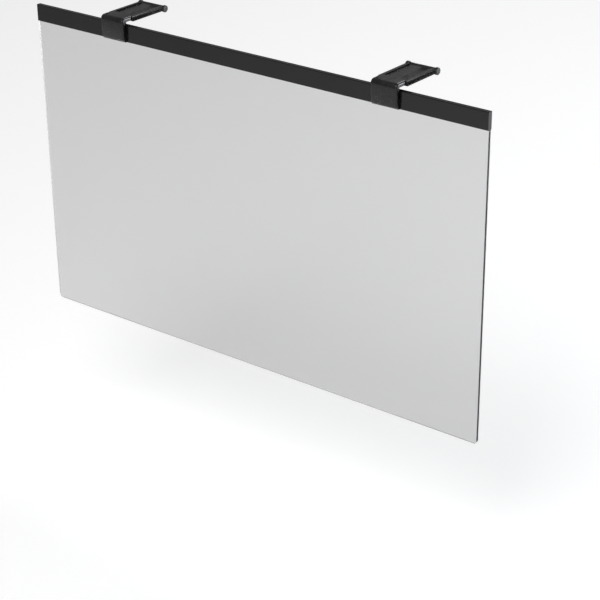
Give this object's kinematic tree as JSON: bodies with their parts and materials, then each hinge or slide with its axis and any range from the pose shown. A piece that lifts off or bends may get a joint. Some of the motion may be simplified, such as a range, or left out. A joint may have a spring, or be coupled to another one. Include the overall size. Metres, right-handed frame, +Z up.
{
  "type": "monitor privacy filter",
  "caption": "Clear grey acrylic privacy sheet in a black header strip, hung over the top of a wide monitor on hangers whose slides pull out to suit its depth.",
  "frame": {"origin": "middle of the monitor's top front edge: Y 0 is the monitor's front, which the hangers' rear tabs touch, and Z 0 is the monitor's top, which the slides lie on", "axes": "+X along the header to the viewer's right, +Y to the rear over the monitor, +Z up"},
  "size_m": [0.54, 0.0637, 0.3315],
  "materials": {
    "acrylic": "polished clear grey acrylic",
    "header": "glossy moulded black",
    "clip": "semi-gloss moulded black",
    "slide": "semi-gloss moulded black"
  },
  "bodies": {
    "filter": {"filter_sheet": "acrylic", "header_strip": "header", "hanger_clip_left": "clip", "hanger_clip_right": "clip"},
    "slide_left": {"hanger_slide_left": "slide"},
    "slide_right": {"hanger_slide_right": "slide"}
  },
  "joints": [
    {"name": "left_slide_out", "type": "slide", "parent": "filter", "child": "slide_left", "axis": [0, 1, 0], "range_m": [0, 0.0275]},
    {"name": "right_slide_out", "type": "slide", "parent": "filter", "child": "slide_right", "axis": [0, 1, 0], "range_m": [0, 0.0275]}
  ]
}
